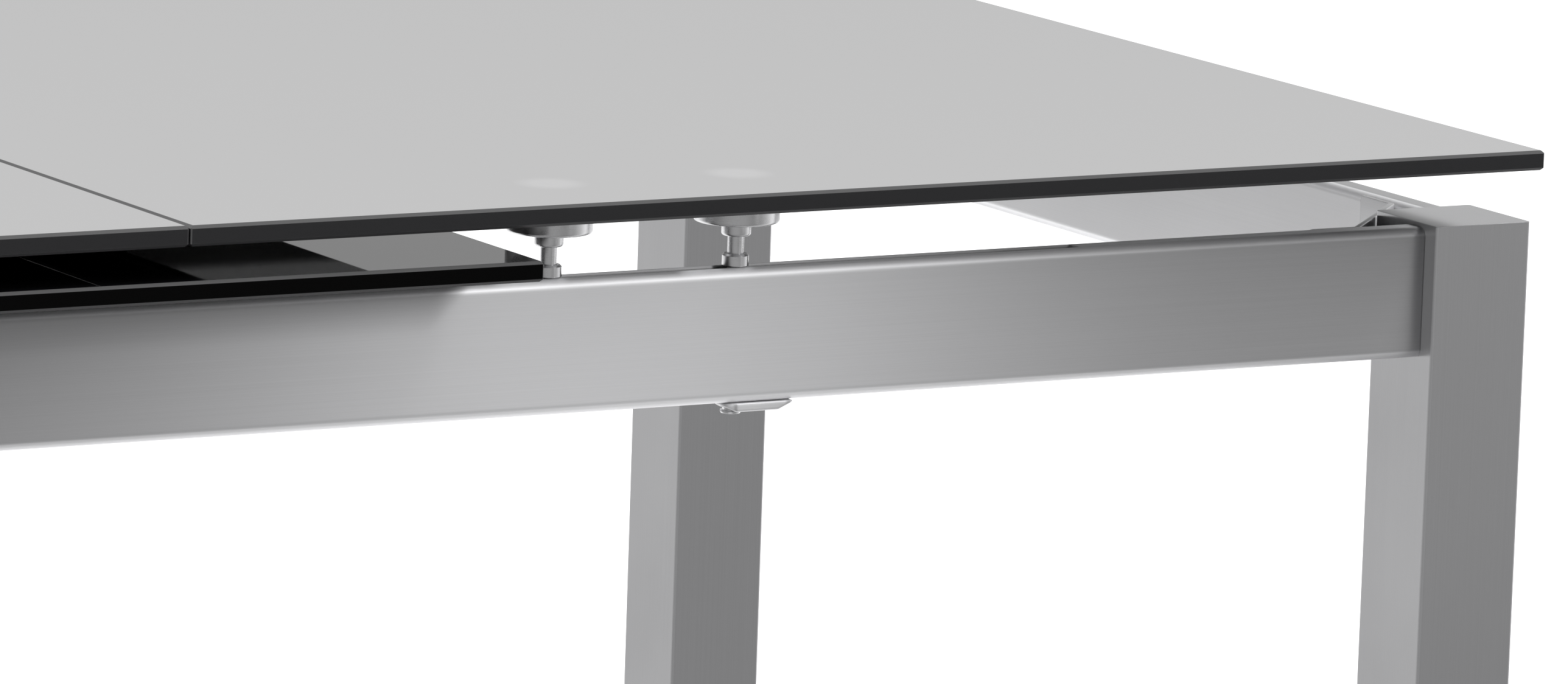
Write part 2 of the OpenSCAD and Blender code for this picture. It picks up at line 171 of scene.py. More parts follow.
def cloud(nodes, scale, detail=4.0):
    place = nodes.add("ShaderNodeTexCoord").outputs["Object"]
    return nodes.add("ShaderNodeTexNoise", {"Vector": place, "Scale": scale, "Detail": detail}).outputs["Fac"]


def worn_edge(nodes, radius):
    """1 on an edge, 0 on a flat."""
    rounded = nodes.add("ShaderNodeBevel", {"Radius": radius}, samples=BEVEL_SAMPLES).outputs["Normal"]
    flat = nodes.add("ShaderNodeNewGeometry").outputs["Normal"]
    return nodes.spread(nodes.vector("DOT_PRODUCT", rounded, flat), FLAT_COSINE, EDGE_COSINE, 0.0, 1.0)


def blend_colour(nodes, factor, a, b):
    mix = nodes.add("ShaderNodeMix", data_type="RGBA")
    nodes.tree.links.new(factor, mix.inputs["Factor"])
    for socket, colour in (("A", a), ("B", b)):
        if isinstance(colour, bpy.types.NodeSocket):
            nodes.tree.links.new(colour, mix.inputs[socket])
        else:
            mix.inputs[socket].default_value = (*colour, 1.0)
    return mix.outputs["Result"]


def scaled(colour, factor):
    return tuple(min(1.0, c * factor) for c in colour)


def surface(nodes, shader, height, strength, distance, radius):
    """Bump on top of softly rounded edges."""
    soft = nodes.add("ShaderNodeBevel", {"Radius": radius}, samples=BEVEL_SAMPLES).outputs["Normal"]
    inputs = {"Height": height, "Strength": strength, "Distance": distance, "Normal": soft}
    bump = nodes.add("ShaderNodeBump", inputs)
    nodes.tree.links.new(bump.outputs["Normal"], shader.inputs["Normal"])


def largest_part(nodes, normal):
    """The absolute parts of a normal, and the largest of them: 1 on a face square to an axis."""
    parts = nodes.add("ShaderNodeSeparateXYZ", {0: nodes.vector("ABSOLUTE", normal)}).outputs
    return parts, nodes.math("MAXIMUM", nodes.math("MAXIMUM", parts["X"], parts["Y"]), parts["Z"])


def brushed_steel(name, axis, colour=STEEL_COLOUR, corner_shine=1.0, lying_shade=0.56, soft_edge=0.4 * MM):
    """Steel with its grain along one axis, and across it on end faces.

    corner_shine is how far rounded corners are lightened by a painted highlight, and lying_shade scales the
    colour of faces that look up, as painted shade where it is below 1 and painted light where it is above 1.
    """
    made, nodes, shader = material(name)
    link = made.node_tree.links.new
    fine = grain(nodes, axis, *FINE_GRAIN)
    broad = grain(nodes, axis, *BROAD_GRAIN)
    smudge = cloud(nodes, SMUDGE_SCALE)
    mixed = nodes.math("ADD", nodes.math("MULTIPLY", fine, 0.8), nodes.math("MULTIPLY", broad, 0.2))
    rough = nodes.math("ADD", nodes.from_noise(mixed, -0.02, 0.02), nodes.from_noise(smudge, -0.015, 0.015))
    link(nodes.math("ADD", rough, STEEL_ROUGHNESS), shader.inputs["Roughness"])
    tint = blend_colour(nodes, nodes.from_noise(mixed, 0.0, 1.0), scaled(colour, 0.97), scaled(colour, 1.03))
    worn = blend_colour(nodes, worn_edge(nodes, 0.6 * MM), tint, scaled(colour, 1.12))
    normal = nodes.add("ShaderNodeNewGeometry").outputs["Normal"]
    # Painted shade and light: faces that look up take lying_shade times the colour, darker where it is below
    # 1, lighter where it is above 1.
    painted_top_shading_mask = nodes.spread(nodes.upward(normal), 0.9, 0.99, 0.0, 1.0)
    shaded = blend_colour(nodes, painted_top_shading_mask, worn, scaled(colour, lying_shade))
    # Painted highlight: faces off the axes, the rounded corners, are lightened towards 1.6 times the colour,
    # in place of the light they catch.
    largest = largest_part(nodes, normal)[1]
    painted_corner_highlight = nodes.math("MULTIPLY", nodes.spread(largest, 0.995, 0.95, 0.0, 1.0), corner_shine)
    link(blend_colour(nodes, painted_corner_highlight, shaded, scaled(colour, 1.6)), shader.inputs["Base Color"])
    shader.inputs["Metallic"].default_value = 1.0
    shader.inputs["Anisotropic"].default_value = 1.0
    unit = {"X": (1.0, 0.0, 0.0), "Y": (0.0, 1.0, 0.0), "Z": (0.0, 0.0, 1.0)}
    line, spare = unit[axis], unit["Y" if axis == "X" else "X"]
    facing = nodes.math("ABSOLUTE", nodes.vector("DOT_PRODUCT", normal, line))
    on_end = nodes.math("GREATER_THAN", facing, 0.7)
    chosen = nodes.add("ShaderNodeMix", data_type="VECTOR")
    link(on_end, chosen.inputs["Factor"])
    chosen.inputs["A"].default_value = line
    chosen.inputs["B"].default_value = spare
    link(nodes.vector("CROSS_PRODUCT", normal, chosen.outputs["Result"]), shader.inputs["Tangent"])
    surface(nodes, shader, mixed, 0.12, 0.04 * MM, soft_edge)
    return made


def glass(name, edge_specular, edge_shade, marks=()):
    """Black glass with polished faces, ground arrises that are darker where they face down as painted shade,
    and the pale spots of the discs glued below.

    edge_specular scales the mirror of the upright edges, edge_shade is their colour, and marks are
    the places of the spots.
    """
    made, nodes, shader = material(name)
    link = made.node_tree.links.new
    place = nodes.add("ShaderNodeTexCoord").outputs["Object"]
    normal = nodes.add("ShaderNodeNewGeometry").outputs["True Normal"]
    parts, largest = largest_part(nodes, normal)
    ground = nodes.math("LESS_THAN", largest, 0.9)
    edge = nodes.math("LESS_THAN", parts["Z"], 0.1)
    spots = 0.0
    for x, y in marks:
        level_place = nodes.vector("MULTIPLY", place, (1.0, 1.0, 0.0))
        away = nodes.vector("DISTANCE", level_place, (x, y, 0.0))
        spots = nodes.math("ADD", nodes.spread(away, SPOT_OUTER, SPOT_INNER, 0.0, 1.0), spots)
    shade = GLASS_BLACK
    if marks:
        above = nodes.math("GREATER_THAN", nodes.upward(normal), 0.5)
        shade = blend_colour(nodes, nodes.math("MULTIPLY", spots, above), shade, SPOT_COLOUR)
    edged = blend_colour(nodes, edge, shade, edge_shade)
    # Painted shade: arrises that face down take the darker colour.
    lower = nodes.math("LESS_THAN", nodes.upward(normal), -0.1)
    frosted_with_painted_shade = blend_colour(nodes, lower, ARRIS_ABOVE, ARRIS_BELOW_PAINTED_SHADE)
    link(blend_colour(nodes, ground, edged, frosted_with_painted_shade), shader.inputs["Base Color"])
    dust = nodes.spread(cloud(nodes, 55.0, 6.0), 0.62, 0.8, 0.0, 0.01)
    base = nodes.math("ADD", dust, GLASS_ROUGHNESS)
    with_edge = nodes.math("ADD", base, nodes.math("MULTIPLY", edge, EDGE_ROUGHNESS))
    rough = nodes.math("ADD", with_edge, nodes.math("MULTIPLY", ground, ARRIS_ROUGHNESS))
    link(rough, shader.inputs["Roughness"])
    matt_arris = nodes.math("MULTIPLY", ground, 1.0 - ARRIS_SPECULAR)
    matt = nodes.math("MAXIMUM", matt_arris, nodes.math("MULTIPLY", edge, 1.0 - edge_specular))
    link(nodes.math("MULTIPLY", nodes.math("SUBTRACT", 1.0, matt), 0.5), shader.inputs["Specular IOR Level"])
    shader.inputs["IOR"].default_value = GLASS_IOR
    grit = nodes.math("MULTIPLY", cloud(nodes, 3000.0, 2.0), ground)
    surface(nodes, shader, grit, 0.3, 0.05 * MM, 0.3 * MM)
    return made


def bare_metal(name, colour, roughness, mottle, pitting, polished=False):
    """Turned metal with lathe lines if polished, else plated or drawn metal with a fine skin."""
    made, nodes, shader = material(name)
    link = made.node_tree.links.new
    skin = grain(nodes, "Z", 4200.0, 30.0, 2.0) if polished else cloud(nodes, 900.0)
    patches = cloud(nodes, mottle)
    dark, light = scaled(colour, 0.93), scaled(colour, 1.06)
    tint = blend_colour(nodes, nodes.from_noise(patches, 0.0, 1.0), dark, light)
    worn = blend_colour(nodes, worn_edge(nodes, WORN_WIDTH), tint, scaled(colour, 1.2))
    link(worn, shader.inputs["Base Color"])
    shader.inputs["Metallic"].default_value = 1.0
    rough = nodes.math("ADD", nodes.from_noise(patches, -0.04, 0.05), nodes.from_noise(skin, -0.02, 0.03))
    link(nodes.math("ADD", rough, roughness), shader.inputs["Roughness"])
    surface(nodes, shader, skin, pitting, 0.06 * MM, 0.3 * MM)
    return made


def dull(name, colour, roughness, texture, depth, wear):
    """Moulded plastic or rubber."""
    made, nodes, shader = material(name)
    link = made.node_tree.links.new
    skin = cloud(nodes, texture, 5.0)
    dirt = cloud(nodes, 40.0)
    tint = blend_colour(nodes, nodes.spread(dirt, 0.35, 0.7, 0.0, 1.0), colour, scaled(colour, 1.5))
    link(blend_colour(nodes, worn_edge(nodes, WORN_WIDTH), tint, wear), shader.inputs["Base Color"])
    link(nodes.from_noise(skin, roughness - 0.06, roughness + 0.08), shader.inputs["Roughness"])
    surface(nodes, shader, skin, 0.4, depth, 0.4 * MM)
    return made


def clear_plastic(name):
    made, nodes, shader = material(name)
    ripple = cloud(nodes, 300.0)
    shader.inputs["Base Color"].default_value = (0.75, 0.77, 0.78, 1.0)
    shader.inputs["Transmission Weight"].default_value = 0.6
    made.node_tree.links.new(nodes.from_noise(ripple, 0.15, 0.28), shader.inputs["Roughness"])
    surface(nodes, shader, ripple, 0.2, 0.04 * MM, 0.1 * MM)
    return made


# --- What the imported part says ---
RECORD = frame["record"]
BODY = {n: body for body, names in RECORD["behaviour"]["bodies"].items() for n in names}
SLOT = {p["node"]: p["material_slot"] for p in RECORD["subparts"]}


def size_of(name):
    low, high = (Vector(c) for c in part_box(name))
    return low, high


def corners_in(name, inset):
    """The four upright axes of equal pieces that stand in the corners of a node's box."""
    low, high = size_of(name)
    return [(x, y) for x in (low.x + inset, high.x - inset) for y in (low.y + inset, high.y - inset)]


RAIL_MID_Y = (size_of("rail_back")[0].y + size_of("rail_back")[1].y) / 2
POST_R = size_of("posts_right")[1].y - RAIL_MID_Y

# lying_shade is painted shade on faces that look up (painted light on the X rails, where it is above 1);
# corner_shine is a painted highlight on rounded corners.
STEEL_X = brushed_steel("brushed_steel_x", "X", lying_shade=1.2, soft_edge=1.8 * MM)
STEEL_Y = brushed_steel("brushed_steel_y", "Y", colour=scaled(STEEL_COLOUR, 0.92))
STEEL_Z = brushed_steel(
    "brushed_steel_z", "Z", colour=scaled(STEEL_COLOUR, 0.97), corner_shine=0.35, lying_shade=0.48,
)
PLATE = brushed_steel("brushed_plate", "Y", corner_shine=0.0)
GLASS = {
    "glass_right": glass("black_glass_right", 0.9, (0.014, 0.014, 0.015), corners_in("posts_right", POST_R)),
    "glass_left": glass("black_glass_left", 0.9, (0.014, 0.014, 0.015), corners_in("posts_left", POST_R)),
    # The leaf's upright edges get a darker colour and a weaker mirror than the top's: painted shade, for the
    # leaf lies in shadow under the top.
    "leaf_glass": glass("black_glass_leaf", 0.05, (0.002, 0.002, 0.002)),
}
BRIGHT = bare_metal("bright_steel", (0.70, 0.70, 0.71), 0.28, 160.0, 0.15, polished=True)
ZINC = bare_metal("zinc_steel", (0.50, 0.51, 0.53), 0.36, 90.0, 0.25)
SPRING = bare_metal("spring_steel", (0.16, 0.16, 0.17), 0.38, 240.0, 0.2)
PLASTIC = dull("black_plastic", (0.028, 0.028, 0.030), 0.48, 1400.0, 0.08 * MM, (0.09, 0.09, 0.09))
RUBBER = dull("rubber", (0.018, 0.018, 0.018), 0.68, 900.0, 0.12 * MM, (0.05, 0.05, 0.05))
CLEAR = clear_plastic("clear_pvc")


def material_for(name):
    slot = SLOT[name]
    if slot == "black_glass":
        return GLASS[name]
    if slot == "brushed_steel":
        low, high = size_of(name)
        longest = max(range(3), key=lambda i: high[i] - low[i])
        return (STEEL_X, STEEL_Y, STEEL_Z)[longest]
    if name.startswith("lock_lever"):
        return STEEL_X
    if name.startswith("corner_bracket"):
        return PLATE
    return {
        "bright_steel": BRIGHT, "zinc_steel": ZINC, "spring_steel": SPRING,
        "black_plastic": PLASTIC, "rubber": RUBBER, "clear_pvc": CLEAR,
    }[slot]


for name, node in frame["nodes"].items():
    node.data.materials.clear()
    node.data.materials.append(material_for(name))


# --- Pieces made in mesh code ---
SMOOTH_UP_TO = math.radians(32)
ON_AXIS = 1e-7
SAME_HEIGHT = 1e-9


def stand_for(bm, name):
    """Turns a bmesh in the row frame into the piece shown for one CAD node."""
    bmesh.ops.recalc_face_normals(bm, faces=bm.faces)
    mesh = bpy.data.meshes.new(name + "_detail")
    bm.to_mesh(mesh)
    bm.free()
    for face in mesh.polygons:
        face.use_smooth = True
    mesh.set_sharp_from_angle(angle=SMOOTH_UP_TO)
    mesh.materials.append(material_for(name))
    piece = bpy.data.objects.new(name + "_detail", mesh)
    bpy.context.scene.collection.objects.link(piece)
    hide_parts(name)
    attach(piece, BODY[name])


def arc(centre, radius, start, end, steps=6):
    """Points of an arc in a plane, angles in degrees."""
    turns = [math.radians(start + (end - start) * i / steps) for i in range(steps + 1)]
    return [(centre[0] + radius * math.cos(t), centre[1] + radius * math.sin(t)) for t in turns]


def turned(bm, profile, turn, steps=64):
    """Revolves (radius, height) points round the z axis of the matrix turn, and closes the ends."""
    angles = [2 * math.pi * i / steps for i in range(steps)]
    rings = []
    for radius, height in profile:
        if radius < ON_AXIS:
            rings.append([bm.verts.new(turn @ Vector((0.0, 0.0, height)))])
            continue
        points = [Vector((radius * math.cos(a), radius * math.sin(a), height)) for a in angles]
        rings.append([bm.verts.new(turn @ point) for point in points])
    for low, high in zip(rings, rings[1:]):
        for i in range(steps):
            j = (i + 1) % steps
            if len(low) == 1:
                bm.faces.new((low[0], high[j], high[i]))
            elif len(high) == 1:
                bm.faces.new((low[i], low[j], high[0]))
            else:
                bm.faces.new((low[i], low[j], high[j], high[i]))


def prism(bm, outline, low, high, turn, bevel=0.0):
    """Extrudes a flat outline along z of the matrix turn and bevels its rim edges."""
    made = bmesh.new()
    bottom = made.faces.new([made.verts.new(Vector((x, y, low))) for x, y in outline])
    top = bmesh.ops.extrude_face_region(made, geom=[bottom])
    lifted = [v for v in top["geom"] if isinstance(v, bmesh.types.BMVert)]
    bmesh.ops.translate(made, verts=lifted, vec=(0.0, 0.0, high - low))
    if bevel:
        rims = [e for e in made.edges if abs(e.verts[0].co.z - e.verts[1].co.z) < SAME_HEIGHT]
        bmesh.ops.bevel(
            made, geom=rims, offset=bevel, segments=2, profile=0.5, affect="EDGES", clamp_overlap=True,
        )
    made.transform(turn)
    spare = bpy.data.meshes.new("spare")
    made.to_mesh(spare)
    made.free()
    bm.from_mesh(spare)
    bpy.data.meshes.remove(spare)


def at(x, y, z=0.0):
    return Matrix.Translation((x, y, z))


HEX_STEPS = 48


def hex_head(bm, across, low, high, turn):
    """Hexagon head, across its flats, with a chamfer above that runs lower at the corners."""
    shoulder, crown, corner_drop = 0.08 * across, 0.47 * across, 0.3
    reach = across / math.sqrt(3.0)
    rows = []
    for height, limit, drop in ((low, reach, 0.0), (high - shoulder, reach, corner_drop), (high, crown, 0.0)):
        row = []
        for i in range(HEX_STEPS):
            a = 2 * math.pi * i / HEX_STEPS
            side = (a % (math.pi / 3)) - math.pi / 6
            flat = across / 2 / math.cos(side)
            radius = min(flat, limit)
            z = height - drop * (flat - across / 2)
            row.append(bm.verts.new(turn @ Vector((radius * math.cos(a), radius * math.sin(a), z))))
        rows.append(row)
    for a_row, b_row in zip(rows, rows[1:]):
        for i in range(HEX_STEPS):
            j = (i + 1) % HEX_STEPS
            bm.faces.new((a_row[i], a_row[j], b_row[j], b_row[i]))
    bm.faces.new(rows[-1])
    bm.faces.new(list(reversed(rows[0])))


def stand_turned(name, profile, places, steps):
    """Shows the same turned piece at each place for one CAD node."""
    bm = bmesh.new()
    for place in places:
        turned(bm, profile, at(*place), steps)
    stand_for(bm, name)


def make_discs(side):
    """Discs with a rounded lower edge, on a thin layer of glue below the glass."""
    name = "glass_discs_" + side
    low, high = size_of(name)
    radius = high.y - RAIL_MID_Y
    edge, glue = 1.5 * MM, 0.5 * MM
    rim, glue_r = radius - 0.3 * MM, radius - 0.9 * MM
    profile = [(0.0, low.z)] + arc((radius - edge, low.z + edge), edge, -90, 0)
    profile += [(radius, high.z - 2 * glue), (rim, high.z - 1.6 * glue)]
    profile += [(rim, high.z - glue), (glue_r, high.z - glue), (glue_r, high.z), (0.0, high.z)]
    stand_turned(name, profile, corners_in("posts_" + side, POST_R), 96)


def make_disc_collars(side):
    """Collars with a rounded lower edge and a small step below the disc."""
    name = "disc_collars_" + side
    low, high = size_of(name)
    radius = high.y - RAIL_MID_Y
    edge, step = 1.5 * MM, 0.35 * MM
    profile = [(POST_R, low.z)] + arc((radius - edge, low.z + edge), edge, -90, 0)
    profile += [(radius, high.z - 1.1 * MM), (radius - step, high.z - 0.8 * MM)]
    profile += [(radius - step, high.z), (POST_R, high.z), (POST_R, low.z)]
    stand_turned(name, profile, corners_in("posts_" + side, POST_R), 64)


def make_foot_collars(side):
    """Collars on the rail with a bevel above."""
    name = "foot_collars_" + side
    low, high = size_of(name)
    radius = high.y - RAIL_MID_Y
    bevel, edge = 0.9 * MM, 0.3 * MM
    profile = [(POST_R, low.z), (radius - edge, low.z), (radius, low.z + edge)]
    profile += [(radius, high.z - bevel), (radius - bevel, high.z), (POST_R + edge, high.z)]
    profile += [(POST_R, high.z - edge), (POST_R, low.z)]
    stand_turned(name, profile, corners_in("posts_" + side, POST_R), 64)


def make_posts(side):
    """Studs with a shallow thread on the part inside the rail."""
    name = "posts_" + side
    low, high = size_of(name)
    rail_top = size_of("rail_back")[1].z
    pitch, depth = 1.25 * MM, 0.55 * MM
    low_bevel, high_bevel, plain_below_rail_top = 0.8 * MM, 0.6 * MM, 6 * MM
    profile = [(0.0, low.z), (POST_R - low_bevel, low.z), (POST_R, low.z + low_bevel)]
    z = low.z + 1.2 * MM
    while z < rail_top - plain_below_rail_top:
        profile += [(POST_R, z), (POST_R - depth, z + pitch * 0.45), (POST_R, z + pitch * 0.9)]
        z += pitch
    profile += [(POST_R, z), (POST_R, high.z - high_bevel), (POST_R - high_bevel, high.z), (0.0, high.z)]
    stand_turned(name, profile, corners_in(name, POST_R), 40)


def make_lock_lever(corner):
    """A flat lever: round at the pivot, cut away below its finger end, with soft edges."""
    name = "lock_lever_" + corner
    low, high = size_of(name)
    side = 1.0 if corner.endswith("r") else -1.0
    half = (high.y - low.y) / 2
    pivot = low.x + half if side > 0 else high.x - half
    reach = high.x - low.x - half
    tall = high.z - low.z
    slope, lip, steps = 8 * MM, 0.8 * MM, 16
    taper, most_edge, least_wide = 1.0 * MM, 0.5 * MM, 0.05 * MM
    rows = []
    stations = [-half * math.cos(math.pi / 2 * i / steps) for i in range(steps + 1)]
    stations += [reach - slope, reach - slope / 2, reach - 1.2 * MM, reach - 0.4 * MM, reach]
    bm = bmesh.new()
    for x in stations:
        wide = math.sqrt(max(0.0, half * half - x * x)) if x < 0 else half
        if x > reach - taper:
            wide -= 0.8 * MM * (x - reach + taper) / taper
        wide = max(wide, least_wide)
        cut = max(0.0, x - reach + slope, (-x - 0.5 * MM) * slope / half) / slope * (tall - lip)
        cut = min(cut, tall - lip)
        edge = min(most_edge, wide * 0.9, (tall - cut) * 0.4)
        ring = []
        for sy, sz in ((-1, -1), (1, -1), (1, 1), (-1, 1)):
            z = (low.z + cut) if sz < 0 else high.z
            pair = [(sy * (wide - edge), z), (sy * wide, z - sz * edge)]
            ring += pair if sy * sz < 0 else pair[::-1]
        rows.append([bm.verts.new((pivot + side * x, (low.y + high.y) / 2 + y, z)) for y, z in ring])
    for a_row, b_row in zip(rows, rows[1:]):
        for i in range(8):
            j = (i + 1) % 8
            bm.faces.new((a_row[i], a_row[j], b_row[j], b_row[i]))
    bm.faces.new(rows[0])
    bm.faces.new(rows[-1])
    stand_for(bm, name)


def make_lock_bolt(corner):
    """Hexagon head below the lever, under a plain shank."""
    name = "lock_bolt_" + corner
    low, high = size_of(name)
    lever_low = size_of("lock_lever_" + corner)[0].z
    x, y = (low.x + high.x) / 2, (low.y + high.y) / 2
    across = min(high.x - low.x, high.y - low.y)
    flip = at(x, y) @ Matrix.Scale(-1.0, 4, (0.0, 0.0, 1.0))
    bm = bmesh.new()
    hex_head(bm, across * 0.98, -lever_low, -low.z, flip)
    bevel = 0.8 * MM
    profile = [(0.0, lever_low), (POST_R, lever_low), (POST_R, high.z - bevel)]
    profile += [(POST_R - bevel, high.z), (0.0, high.z)]
    turned(bm, profile, at(x, y), 40)
    stand_for(bm, name)


def bent_outline(points, radius):
    """Rounds the corners of an open path."""
    path, steps = [points[0]], 8
    for a, b, c in zip(points, points[1:], points[2:]):
        a, b, c = Vector(a), Vector(b), Vector(c)
        into, out = (b - a).normalized(), (c - b).normalized()
        turn = into.angle_signed(out)
        cut = radius * math.tan(abs(turn) / 2)
        start = b - into * cut
        for i in range(steps + 1):
            t = i / steps
            path.append(tuple((start * (1 - t) ** 2) + 2 * t * (1 - t) * b + (b + out * cut) * t * t))
    return path + [points[-1]]


def offset_path(path, distance):
    """The path moved sideways, to its left."""
    moved = []
    for i, point in enumerate(path):
        before = Vector(path[max(0, i - 1)])
        after = Vector(path[min(len(path) - 1, i + 1)])
        along = (after - before).normalized()
        moved.append((point[0] - along.y * distance, point[1] + along.x * distance))
    return moved


def make_corner_bracket(corner):
    """A strip bent twice, with its flanges flat against the two rails."""
    name = "corner_bracket_" + corner
    low, high = size_of(name)
    sx = 1.0 if corner.endswith("r") else -1.0
    sy = 1.0 if corner.startswith("b") else -1.0
    wide = high.x - low.x
    tall = high.y - low.y
    flange, thick = 26.0 * MM, 3.0 * MM
    half = thick / 2
    straight = flange + half * 0.4
    path = [(-wide, half), (-wide + straight, half), (-half, tall - straight), (-half, tall)]
    middle = bent_outline(path, 4 * MM)
    outline = offset_path(middle, half) + list(reversed(offset_path(middle, -half)))
    outer_x = high.x if sx > 0 else low.x
    outer_y = low.y if sy < 0 else high.y
    turn = at(outer_x, outer_y) @ Matrix.Diagonal((sx, -sy, 1.0, 1.0))
    bm = bmesh.new()
    prism(bm, outline, low.z, high.z, turn, 0.4 * MM)
    stand_for(bm, name)


def make_springs():
    """Close-wound torsion springs round the crank shafts."""
    name = "torsion_springs"
    low, high = size_of(name)
    shaft = size_of("crank_shaft_right")
    bore = (shaft[1].x - shaft[0].x) / 2
    outer = (high.z - low.z) / 2
    wire = (outer - bore - 0.8 * MM) / 2
    mid_z = (low.z + high.z) / 2
    length = 36.0 * MM
    turns, steps_per_turn, ring = 9, 32, 10
    along = Vector((0.0, 1.0, 0.0))
    bm = bmesh.new()
    for sx in (-1, 1):
        for sy in (-1, 1):
            centre_x = sx * (high.x - outer)
            start_y = sy * (high.y - length / 2) - length / 2 + wire
            rows = []
            steps = turns * steps_per_turn
            for i in range(steps + 1):
                a = 2 * math.pi * turns * i / steps
                spine = Vector((math.cos(a), 0.0, math.sin(a)))
                y = start_y + (length - 2 * wire) * i / steps
                centre = Vector((centre_x, y, mid_z)) + spine * (outer - wire)
                row = []
                for k in range(ring):
                    b = 2 * math.pi * k / ring
                    row.append(bm.verts.new(centre + wire * (math.cos(b) * spine + math.sin(b) * along)))
                rows.append(row)
            for a_row, b_row in zip(rows, rows[1:]):
                for k in range(ring):
                    n = (k + 1) % ring
                    bm.faces.new((a_row[k], a_row[n], b_row[n], b_row[k]))
            bm.faces.new(rows[0])
            bm.faces.new(rows[-1])
    stand_for(bm, name)


def make_foot_pads():
    """Round pads with a shallow hollow below and a narrower top."""
    name = "foot_pads"
    low, high = size_of(name)
    legs = [size_of("leg_" + c) for c in ("fl", "fr", "bl", "br")]
    radius = high.x - (legs[1][0].x + legs[1][1].x) / 2
    tall = high.z - low.z
    hollow, edge, step = 0.6 * MM, 0.8 * MM, 0.5 * MM
    profile = [(0.0, hollow), (radius - 6 * MM, hollow), (radius - 5.4 * MM, 0.0), (radius - edge, 0.0)]
    profile += [(radius, edge), (radius, tall * 0.6), (radius - step, tall * 0.7)]
    profile += [(radius - step, tall), (0.0, tall)]
    stand_turned(name, profile, [((a.x + b.x) / 2, (a.y + b.y) / 2, low.z) for a, b in legs], 64)


def make_bumpers():
    """Rubber buttons with a domed top."""
    name = "leaf_bumpers"
    low, high = size_of(name)
    radius = high.y - RAIL_MID_Y
    dome = 1.4 * MM
    neck = radius - 0.8 * MM
    profile = [(0.0, low.z), (radius, low.z), (radius, low.z + 1.5 * MM), (neck, low.z + 2.2 * MM)]
    profile += [(neck, high.z - dome), (radius - 1.3 * MM, high.z - 0.5 * dome)]
    profile += [(radius - 2.4 * MM, high.z), (0.0, high.z)]
    stand_turned(name, profile, corners_in(name, radius), 48)


def make_guide_rods():
    """Rods with a grooved lower end and a thin round flange on top."""
    name = "guide_rods"
    low, high = size_of(name)
    flange = (high.x - low.x) / 2
    rod, plate = 5.0 * MM, 3.0 * MM
    bevel, groove, edge = 1 * MM, rod - 0.5 * MM, 0.4 * MM
    plate_low = high.z - plate
    profile = [(0.0, low.z), (rod - bevel, low.z), (rod, low.z + bevel), (rod, low.z + 4 * MM)]
    profile += [(groove, low.z + 4.3 * MM), (groove, low.z + 5.2 * MM), (rod, low.z + 5.5 * MM)]
    profile += [(rod, plate_low - bevel), (rod + bevel, plate_low), (flange - edge, plate_low)]
    profile += [(flange, plate_low + edge), (flange, high.z - edge), (flange - edge, high.z), (0.0, high.z)]
    mid_x = (low.x + high.x) / 2
    stand_turned(name, profile, [(mid_x, low.y + flange), (mid_x, high.y - flange)], 64)


def make_beam_screws():
    """Button-head screws with a round socket."""
    name = "beam_screws"
    low, high = size_of(name)
    radius, tall = 4.5 * MM, high.z - low.z
    profile = [(0.0, 0.0), (radius, 0.0)] + arc((0.6 * radius, 0.1 * tall), 0.4 * radius, 0, 80, 5)
    profile = [(r, min(z, tall)) for r, z in profile]
    profile += [(0.5 * radius, tall), (0.45 * radius, 0.4 * tall), (0.0, 0.4 * tall)]
    bushes = size_of("guide_bushes")
    bush_r = (bushes[1].x - bushes[0].x) / 2
    mid_y = bushes[1].y - bush_r
    apart = high.y - radius - mid_y
    columns = (low.x + radius, high.x - radius)
    rows = (-mid_y - apart, -mid_y + apart, mid_y - apart, mid_y + apart)
    stand_turned(name, profile, [(x, y, low.z) for x in columns for y in rows], 36)


for side in ("right", "left"):
    make_discs(side)
    make_disc_collars(side)
    make_foot_collars(side)
    make_posts(side)
for corner in ("fl", "fr", "bl", "br"):
    make_lock_lever(corner)
    make_lock_bolt(corner)
    make_corner_bracket(corner)
make_springs()
make_foot_pads()
make_bumpers()
make_guide_rods()
make_beam_screws()


# --- Studio ---
# Brightness of the room from behind the camera (0) to straight ahead of it (1).
ROOM_LEVELS = [(0.0, 0.40), (0.25, 0.255), (0.5, 0.60), (0.75, 1.48), (1.0, 1.0)]
CEILING_LEVEL = 1.5
# The sheet's brightness low down and high up.
SHEET_LOW, SHEET_HIGH = 1.08, 1.69


